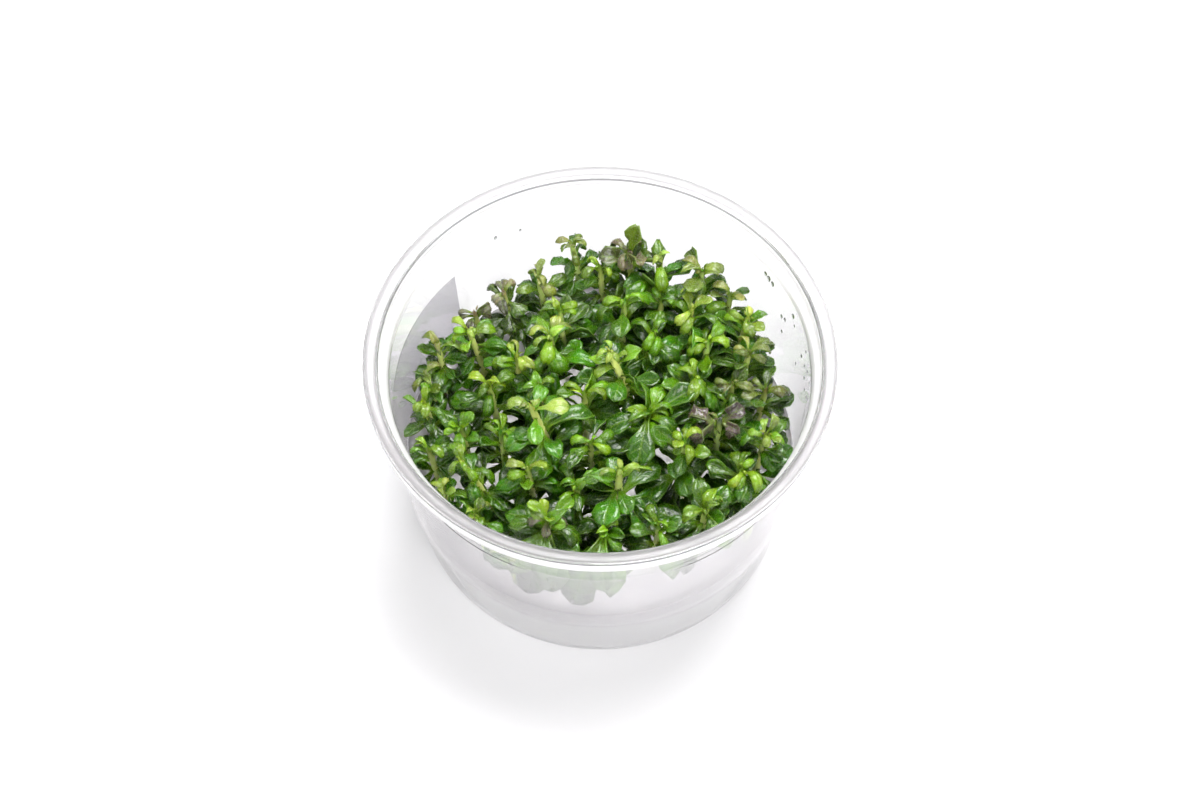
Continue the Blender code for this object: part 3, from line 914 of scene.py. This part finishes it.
def noise_node(tree, place, scale, detail):
    node = tree.nodes.new("ShaderNodeTexNoise")
    feed(tree, node, {"Vector": place, "Scale": scale, "Detail": detail})
    return node.outputs["Fac"]


def bump_node(tree, height, strength, distance):
    node = tree.nodes.new("ShaderNodeBump")
    feed(tree, node, {"Height": height, "Strength": strength, "Distance": distance})
    return node.outputs["Normal"]


def split_node(tree, vector):
    node = tree.nodes.new("ShaderNodeSeparateXYZ")
    feed(tree, node, {"Vector": vector})
    return node.outputs


def object_place(tree):
    return tree.nodes.new("ShaderNodeTexCoord").outputs["Object"]


def mix_colour(tree, share, first, second):
    node = tree.nodes.new("ShaderNodeMix")
    node.data_type = "RGBA"
    feed(tree, node, {0: share, 6: first, 7: second})
    return node.outputs[2]


# Distances from a leaf's rib, where its width is 1, over which the rib, the side veins and the margin fade.
MIDRIB_FADE = (0.02, 0.075)
VEIN_FADE = (0.0, 0.16)
VEIN_END = (0.28, 0.46)
MARGIN_START = (0.42, 0.5)


def vein_group():
    """Masks of a leaf's midrib, side veins and margin, from the leaf's own map, both ways from 0 to 1."""
    shares = {"Pairs": 6.0, "Slant": 1.3}
    tree, entry, leave = new_group("leaf_veins", "Map", shares, ("Midrib", "Side Veins", "Margin"))
    parts = split_node(tree, entry["Map"])
    across = math_node(tree, "ABSOLUTE", math_node(tree, "SUBTRACT", parts["X"], 0.5))
    slanted = math_node(tree, "MULTIPLY", across, entry["Slant"])
    along = math_node(tree, "MULTIPLY", parts["Y"], entry["Pairs"])
    phase = math_node(tree, "SUBTRACT", along, math_node(tree, "MULTIPLY", slanted, 2.0))
    from_vein = math_node(tree, "SUBTRACT", math_node(tree, "FRACT", phase), 0.5)
    from_vein = math_node(tree, "ABSOLUTE", from_vein)
    line = range_node(tree, from_vein, *VEIN_FADE, 1.0, 0.0)
    end = range_node(tree, across, *VEIN_END, 1.0, 0.0)
    midrib = range_node(tree, across, *MIDRIB_FADE, 1.0, 0.0)
    side_veins = math_node(tree, "MULTIPLY", line, end)
    margin = range_node(tree, across, *MARGIN_START)
    feed(tree, leave, {"Midrib": midrib, "Side Veins": side_veins, "Margin": margin})
    return tree


def mottle_group():
    """Cloudy variation at two sizes."""
    tree, entry, leave = new_group("mottle", "Place", {"Coarse": 200.0, "Fine": 1500.0}, ("Cloud", "Grain"))
    for scale, out in (("Coarse", "Cloud"), ("Fine", "Grain")):
        feed(tree, leave, {out: noise_node(tree, entry["Place"], entry[scale], 3.0)})
    return tree


MIDRIB_SUNK = 0.7
VEIN_SUNK = 0.25
GRAIN_SHARE = 0.4


def relief_group():
    """Puckered skin between sunken veins, and the speckle that breaks up its gloss."""
    sunk = {"Midrib": 0.0, "Side Veins": 0.0}
    tree, entry, leave = new_group("leaf_relief", "Place", sunk, ("Height", "Speckle"))
    grain = math_node(tree, "MULTIPLY", noise_node(tree, entry["Place"], 2600.0, 2.0), GRAIN_SHARE)
    height = math_node(tree, "ADD", noise_node(tree, entry["Place"], 700.0, 2.0), grain)
    for vein, share in (("Midrib", MIDRIB_SUNK), ("Side Veins", VEIN_SUNK)):
        height = math_node(tree, "SUBTRACT", height, math_node(tree, "MULTIPLY", entry[vein], share))
    feed(tree, leave, {"Height": height, "Speckle": range_node(tree, grain, 0.15, 0.23)})
    return tree


def clouded_tint(tree, cloud, darkest, lightest):
    """The plant's own tint, darker and lighter in clouds."""
    tint = tree.nodes.new("ShaderNodeVertexColor")
    tint.layer_name = "tint"
    scale = tree.nodes.new("ShaderNodeVectorMath")
    scale.operation = "SCALE"
    shade = range_node(tree, cloud, 0.3, 0.7, darkest, lightest)
    feed(tree, scale, {0: tint.outputs["Color"], "Scale": shade})
    return scale.outputs["Vector"]


# Leaf colours: at the stalk, along the margin and where the skin is pale.
STALK_COLOUR = (0.19, 0.33, 0.01, 1.0)
MARGIN_COLOUR = (0.20, 0.34, 0.04, 1.0)
PALE_COLOUR = (0.19, 0.27, 0.05, 1.0)
STALK_REACH = (0.05, 0.45)
STALK_SHARE = 0.6
MARGIN_SHARE = 0.3
VEIN_SHARE = 0.2
SPECKLE_ROUGH = 0.16


def leaf_skin(name, groups, rib_colour, rib_share, gloss, pale, wax):
    """The leaf's own tint, a paler midrib, faint side veins, blotches and a speckled, waxy gloss."""
    veins, mottle, relief = groups
    finish, tree, shader = new_finish(name)
    place = object_place(tree)
    leaf_map = tree.nodes.new("ShaderNodeUVMap")
    leaf_map.uv_map = "UVMap"
    lines = add_group(tree, veins, {"Map": leaf_map.outputs["UV"]})
    cloud = add_group(tree, mottle, {"Place": place, "Coarse": 260.0, "Fine": 2600.0})
    along = split_node(tree, leaf_map.outputs["UV"])["Y"]
    colour = clouded_tint(tree, cloud["Cloud"], 0.72, 1.3)
    for share, tone in (
        (range_node(tree, along, *STALK_REACH, STALK_SHARE, 0.0), STALK_COLOUR),
        (math_node(tree, "MULTIPLY", lines["Margin"], MARGIN_SHARE), MARGIN_COLOUR),
        (pale, PALE_COLOUR),
        (math_node(tree, "MULTIPLY", lines["Side Veins"], VEIN_SHARE), rib_colour),
        (math_node(tree, "MULTIPLY", lines["Midrib"], rib_share), rib_colour),
    ):
        colour = mix_colour(tree, share, colour, tone)
    ribs = {"Place": place, "Midrib": lines["Midrib"], "Side Veins": lines["Side Veins"]}
    skin = add_group(tree, relief, ribs)
    values = {
        "Base Color": colour,
        "Normal": bump_node(tree, skin["Height"], 0.5, 0.0003),
        "Roughness": range_node(tree, skin["Speckle"], 0.0, 1.0, gloss + SPECKLE_ROUGH, gloss),
        "Specular IOR Level": wax,
        "Subsurface Weight": 0.35,
        "Subsurface Radius": (0.5, 1.0, 0.12),
        "Subsurface Scale": 0.0006,
    }
    feed(tree, shader, values)
    return finish


def stem_skin(mottle):
    finish, tree, shader = new_finish("stem_skin")
    cloud = add_group(tree, mottle, {"Place": object_place(tree)})
    values = {
        "Base Color": clouded_tint(tree, cloud["Cloud"], 0.8, 1.2),
        "Normal": bump_node(tree, cloud["Grain"], 0.3, 0.0001),
        "Roughness": 0.38,
        "Subsurface Weight": 0.25,
        "Subsurface Radius": (0.6, 1.0, 0.2),
        "Subsurface Scale": 0.0008,
    }
    feed(tree, shader, values)
    return finish


def scuff_group():
    """Wear of a thin moulded wall: a faint haze in patches, and slow ripples that run up the wall."""
    tree, entry, leave = new_group("scuffs", "Place", {"Patches": 90.0, "Ripples": 60.0}, ("Haze", "Ripple"))
    patches = noise_node(tree, entry["Place"], entry["Patches"], 5.0)
    upright = tree.nodes.new("ShaderNodeMapping")
    feed(tree, upright, {"Vector": entry["Place"], "Scale": (1.0, 1.0, 0.12)})
    ripples = noise_node(tree, upright.outputs["Vector"], entry["Ripples"], 2.0)
    feed(tree, leave, {"Haze": range_node(tree, patches, 0.4, 0.75), "Ripple": ripples})
    return tree


# The flange is painted darker at the front, as painted shade. The film is painted greyer at the back, where it
# shows from inside, as painted shade.
FLANGE_CLEAR_Y = (-0.030, 0.012)
FLANGE_SHADED_FRONT = (0.50, 0.485, 0.495, 1.0)
FLANGE_CLEAR = (0.80, 0.79, 0.80, 1.0)
FILM_GREY_Y = (-0.012, 0.012)
FILM_WHITE = (0.97, 0.96, 0.97, 1.0)
# Painted shade: the film's back, seen from inside, is painted grey.
FILM_SHADED_BACK = (0.56, 0.545, 0.58, 1.0)
# See-through finishes: colour, how clear, refraction, roughness, what wear adds to it, and height of ripples.
PLASTIC_INDEX = 1.49
CLEAR_LOOKS = {
    "cup_wall": ((0.975, 0.97, 0.98, 1.0), 0.86, PLASTIC_INDEX, 0.01, 0.02, 0.000006),
    "cup_flange": (FLANGE_CLEAR, 0.82, PLASTIC_INDEX, 0.3, 0.15, 0.00006),
    "cup_skirt": ((0.92, 0.91, 0.92, 1.0), 0.55, PLASTIC_INDEX, 0.12, 0.1, 0.00005),
    # The rim's corners are painted dark grey: painted shade, drawing the thin dark lines along the rim's
    # edges.
    "cup_corner_shade": ((0.24, 0.24, 0.25, 1.0), 0.8, PLASTIC_INDEX, 0.06, 0.05, 0.00003),
    "gel": ((0.985, 0.972, 0.960, 1.0), 0.7, 1.34, 0.1, 0.1, 0.0002),
    "film": (FILM_WHITE, 0.96, 1.06, 0.005, 0.01, 0.000004),
    "water": ((0.74, 0.75, 0.77, 1.0), 1.0, 1.33, 0.01, 0.02, 0.00001),
}
GEL_MILKY_DEPTH = 0.012


def clear_finish(name, scuffs):
    finish, tree, shader = new_finish(name)
    colour, clearness, index, gloss, wear, ripple = CLEAR_LOOKS[name]
    marks = add_group(tree, scuffs, {"Place": object_place(tree)})
    values = {
        "Base Color": colour,
        "Transmission Weight": clearness,
        "IOR": index,
        "Roughness": range_node(tree, marks["Haze"], 0.0, 1.0, gloss, gloss + wear),
        "Normal": bump_node(tree, marks["Ripple"], 0.3, ripple),
    }
    feed(tree, shader, values)
    return finish


def milky_gel(scuffs):
    """The gel's finish, where light wanders inside to a depth in metres."""
    finish = clear_finish("gel", scuffs)
    tree = finish.node_tree
    values = {
        "Subsurface Weight": 1.0,
        "Subsurface Radius": (1.0, 1.0, 1.0),
        "Subsurface Scale": GEL_MILKY_DEPTH,
    }
    feed(tree, tree.nodes["Principled BSDF"], values)
    return finish


def tint_to_back(finish, reach, front, back):
    """Changes a finish's colour from front to back, over a reach given as two places in metres."""
    tree = finish.node_tree
    depth = split_node(tree, tree.nodes["Texture Coordinate"].outputs["Object"])["Y"]
    share = range_node(tree, depth, *reach)
    feed(tree, tree.nodes["Principled BSDF"], {"Base Color": mix_colour(tree, share, front, back)})
    return finish


# Parts of the cup with a finish of their own: least and greatest radius, least and greatest height.
FLANGE_TOP = (47.3, 49.8, 59.7, 61.0)
SKIRT = (49.3, 50.1, 0.0, 60.0)
FOOT = (0.0, 50.0, -0.1, 3.6)
STEP = (0.0, 47.7, 54.3, 58.0)
OUTER_CORNER = (49.9, 50.1, 59.8, 60.5)
INNER_CORNER = (46.7, 47.0, 59.0, 59.9)


def dress_cup(obj, finish, part):
    """Gives a finish to the cup's faces between its rings inside a part."""
    inner, outer, low, high = part
    rings = [ring for ring in CUP_PROFILE if inner < ring[0] < outer and low < ring[1] < high]
    obj.data.materials.append(finish)
    bpy.context.view_layer.objects.active = obj
    bpy.ops.object.mode_set(mode="EDIT")
    pick(lambda p: any(abs(math.hypot(p.x, p.y) - r) < 0.02 and abs(p.z - z) < 0.02 for r, z in rings))
    obj.active_material_index = len(obj.data.materials) - 1
    bpy.ops.object.material_slot_assign()
    bpy.ops.object.mode_set(mode="OBJECT")


DROP_AWAY = 0.48
DROP_GROWTH = 1.45
DROP_SHAPE = (0.32, 0.62, 1.0)
# Drops on the inside of the wall: angle from the right, height, size.
WALL_DROPS = (
    (34.9, 53.2, 0.55), (33.2, 52.9, 0.7), (31.3, 52.6, 0.6), (24.6, 46.8, 0.5), (22.8, 47.4, 0.45),
    (18.9, 52.7, 0.6), (17.4, 50.6, 0.35), (23.1, 42.6, 0.4), (8.8, 48.5, 0.45), (6.4, 52.9, 0.4),
    (4.8, 49.3, 0.4), (11.5, 42.6, 0.35), (1, 51.6, 0.4), (2.2, 47.6, 0.5), (-4.3, 53.4, 0.4),
    (-0.8, 46.5, 0.4), (-5.8, 49.5, 0.45), (-8.2, 51.8, 0.35), (122, 50, 0.45),
    (114, 49, 0.35),
)


def wall_drops(finish):
    """Small flattened drops, joined into one piece."""
    drops = []
    for angle, z, size in WALL_DROPS:
        deselect()
        spot = flat_direction(angle) * (inner_radius(z) - DROP_AWAY * size - 0.03)
        bpy.ops.mesh.primitive_uv_sphere_add(
            segments=14,
            ring_count=8,
            radius=DROP_GROWTH * size * MM,
            location=(spot.x * MM, spot.y * MM, z * MM),
            rotation=(0.0, 0.0, math.radians(angle)),
            scale=DROP_SHAPE,
        )
        bpy.ops.object.mode_set(mode="EDIT")
        drops.append(settle("drop"))
    joined = join(drops, "wall_drops")
    joined.data.materials.append(finish)
    return joined


# The object.
scuffs = scuff_group()
cup = turned("clear_cup", CUP_PROFILE, 50)
cup.data.materials.append(clear_finish("cup_wall", scuffs))
# The flange's front is painted darker than its back: painted shade.
flange = tint_to_back(clear_finish("cup_flange", scuffs), FLANGE_CLEAR_Y, FLANGE_SHADED_FRONT, FLANGE_CLEAR)
dress_cup(cup, flange, FLANGE_TOP)
skirt = clear_finish("cup_skirt", scuffs)
for part in (SKIRT, FOOT, STEP):
    dress_cup(cup, skirt, part)
# The rim's corner faces are painted dark grey, as painted shade lines.
corner = clear_finish("cup_corner_shade", scuffs)
for part in (OUTER_CORNER, INNER_CORNER):
    dress_cup(cup, corner, part)
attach(cup, "root")
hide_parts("cup")

gel = turned("gel_layer", GEL_PROFILE, 50)
gel.data.materials.append(milky_gel(scuffs))
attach(gel, "root")
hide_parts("gel")

label = label_film()
# The film is painted greyer at its back: painted shade.
label.data.materials.append(tint_to_back(clear_finish("film", scuffs), FILM_GREY_Y, FILM_WHITE, FILM_SHADED_BACK))
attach(label, "root")
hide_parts("side_label")

drops = wall_drops(clear_finish("water", scuffs))
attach(drops, "root")

UPPER_RIB = (0.22, 0.38, 0.02, 1.0)
UNDER_RIB = (0.24, 0.38, 0.03, 1.0)
mottle = mottle_group()
groups = (vein_group(), mottle, relief_group())
upper_skin = leaf_skin("leaf_upper", groups, UPPER_RIB, rib_share=0.2, gloss=0.16, pale=0.0, wax=0.62)
under_skin = leaf_skin("leaf_under", groups, UNDER_RIB, rib_share=0.34, gloss=0.3, pale=0.1, wax=0.25)
for number, plant in enumerate(grow_plants([upper_skin, under_skin, stem_skin(mottle)]), 1):
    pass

# Floor, light and camera. The floor glows by its distance from the middle: under the cup and far away.
GLOW_NEAR = (0.030, 0.040, 2.4, 0.15)
GLOW_FAR = (0.2, 0.9, 0.0, 1.0)
BACKDROP_TOP = 1.0
BACKDROP_GREYS = ((0.22, 0.92), (0.42, 0.16))
BACKDROP_LOW = 0.1
BACKDROP_STRENGTH = 1.5
FLOOR_SIZE = 4.0
FLOOR_DOWN = 0.0003
LAMP_AIM = Vector((0.0, 0.0, 0.03))
CAMERA_PLACE = (0.0, -0.21956, 0.39506)
CAMERA_DOWN_DEG = 58.168
LENS = 57.05


def floor_skin(mottle):
    finish, tree, shader = new_finish("floor")
    place = object_place(tree)
    marks = add_group(tree, mottle, {"Place": place, "Coarse": 8.0, "Fine": 900.0})
    away = tree.nodes.new("ShaderNodeVectorMath")
    away.operation = "LENGTH"
    feed(tree, away, {0: place})
    near = range_node(tree, away.outputs["Value"], *GLOW_NEAR)
    far = range_node(tree, away.outputs["Value"], *GLOW_FAR)
    values = {
        "Base Color": (0.655, 0.65, 0.66, 1.0),
        "Emission Color": (1.0, 1.0, 1.0, 1.0),
        "Emission Strength": math_node(tree, "ADD", near, far),
        "Roughness": range_node(tree, marks["Cloud"], 0.3, 0.7, 0.6, 0.8),
        "Normal": bump_node(tree, marks["Grain"], 0.1, 0.0001),
    }
    feed(tree, shader, values)
    return finish


def soft_box(name, place, size, power):
    lamp = bpy.data.lights.new(name, "AREA")
    lamp.size = size
    lamp.energy = power
    obj = bpy.data.objects.new(name, lamp)
    obj.location = place
    obj.rotation_mode = "QUATERNION"
    obj.rotation_quaternion = (LAMP_AIM - Vector(place)).to_track_quat("-Z", "Y")
    bpy.context.scene.collection.objects.link(obj)


deselect()
bpy.ops.mesh.primitive_plane_add(size=FLOOR_SIZE, location=(0, 0, -FLOOR_DOWN))
floor = bpy.context.object
floor.name = "floor"
floor.data.materials.append(floor_skin(mottle))

world = bpy.data.worlds.new("studio")
bpy.context.scene.world = world
world.use_nodes = True
sky = world.node_tree
aim = sky.nodes.new("ShaderNodeTexCoord")
ramp = sky.nodes.new("ShaderNodeValToRGB")
for place, grey in BACKDROP_GREYS:
    ramp.color_ramp.elements.new(place).color = (grey, grey, grey, 1.0)
for number, grey in ((0, BACKDROP_TOP), (-1, BACKDROP_LOW)):
    ramp.color_ramp.elements[number].color = (grey, grey, grey, 1.0)
feed(sky, ramp, {"Fac": split_node(sky, aim.outputs["Generated"])["Z"]})
feed(sky, sky.nodes["Background"], {"Color": ramp.outputs["Color"], "Strength": BACKDROP_STRENGTH})

soft_box("key", (0.10, 0.22, 0.70), size=0.44, power=8.5)
soft_box("fill", (-0.48, -0.05, 0.55), size=0.5, power=1.2)
soft_box("front", (0.20, -0.62, 0.42), size=0.5, power=5.6)

camera = bpy.data.objects.new("camera", bpy.data.cameras.new("camera"))
bpy.context.scene.collection.objects.link(camera)
camera.data.sensor_width = 36.0
camera.data.lens = LENS
camera.data.clip_start = 0.01
camera.data.clip_end = 20.0
camera.location = CAMERA_PLACE
camera.rotation_euler = (math.radians(90.0 - CAMERA_DOWN_DEG), 0.0, 0.0)
bpy.context.scene.camera = camera
bpy.context.scene.view_settings.view_transform = "Standard"
